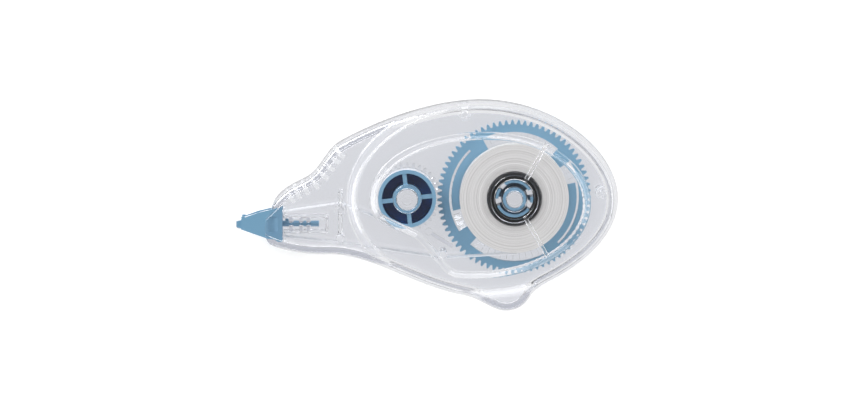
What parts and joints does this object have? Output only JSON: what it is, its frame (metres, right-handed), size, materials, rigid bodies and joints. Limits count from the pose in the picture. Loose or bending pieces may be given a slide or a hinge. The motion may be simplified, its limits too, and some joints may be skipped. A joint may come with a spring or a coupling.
{
  "type": "correction tape dispenser",
  "caption": "Palm-sized correction tape dispenser: clear drop-shaped casing with thumb tab, geared tape reels and a blade tip at the nose.",
  "frame": {"origin": "on the resting plane under the middle of the outer box: the dispenser lies on its back cover", "axes": "+X from the tip towards the round end, +Y away from the thumb tab, +Z out of the front cover"},
  "size_m": [0.0954, 0.053, 0.0139],
  "materials": {
    "clear_plastic": "polished, transparent",
    "blue_plastic": "satin",
    "black_plastic": "satin",
    "black_rubber": "matt",
    "natural_plastic": "natural, translucent",
    "white_film": "matt",
    "carrier_film": "satin film"
  },
  "bodies": {
    "casing": {"front_cover": "clear_plastic", "back_cover": "clear_plastic", "tape_feed_run": "white_film", "tape_return_run": "carrier_film"},
    "supply": {"supply_gear": "blue_plastic", "clutch_ring": "black_rubber"},
    "spool": {"spool_core": "black_plastic", "tape_roll": "white_film"},
    "take_up": {"take_up_pinion": "natural_plastic", "take_up_reel": "blue_plastic", "used_tape_roll": "carrier_film"},
    "tip": {"applicator_tip": "blue_plastic", "tape_tip_wrap": "carrier_film"}
  },
  "joints": [
    {"name": "supply_spin", "type": "hinge", "parent": "casing", "child": "supply", "pos_m": [0.0218, 0.00185, 0], "axis": [0, 0, 1], "continuous": true},
    {"name": "take_up_spin", "type": "hinge", "parent": "casing", "child": "take_up", "pos_m": [-0.00495, 0.00185, 0], "axis": [0, 0, 1], "continuous": true},
    {"name": "clutch_slip", "type": "hinge", "parent": "supply", "child": "spool", "pos_m": [0.0218, 0.00185, 0], "axis": [0, 0, 1], "continuous": true},
    {"name": "tip_swivel", "type": "hinge", "parent": "casing", "child": "tip", "pos_m": [-0.036, -0.0046, 0.0065], "axis": [1, 0, 0], "range_deg": [-5, 5]}
  ],
  "couplings": [
    {"joint": "take_up_spin", "follows": "supply_spin", "ratio": -2.3438}
  ]
}
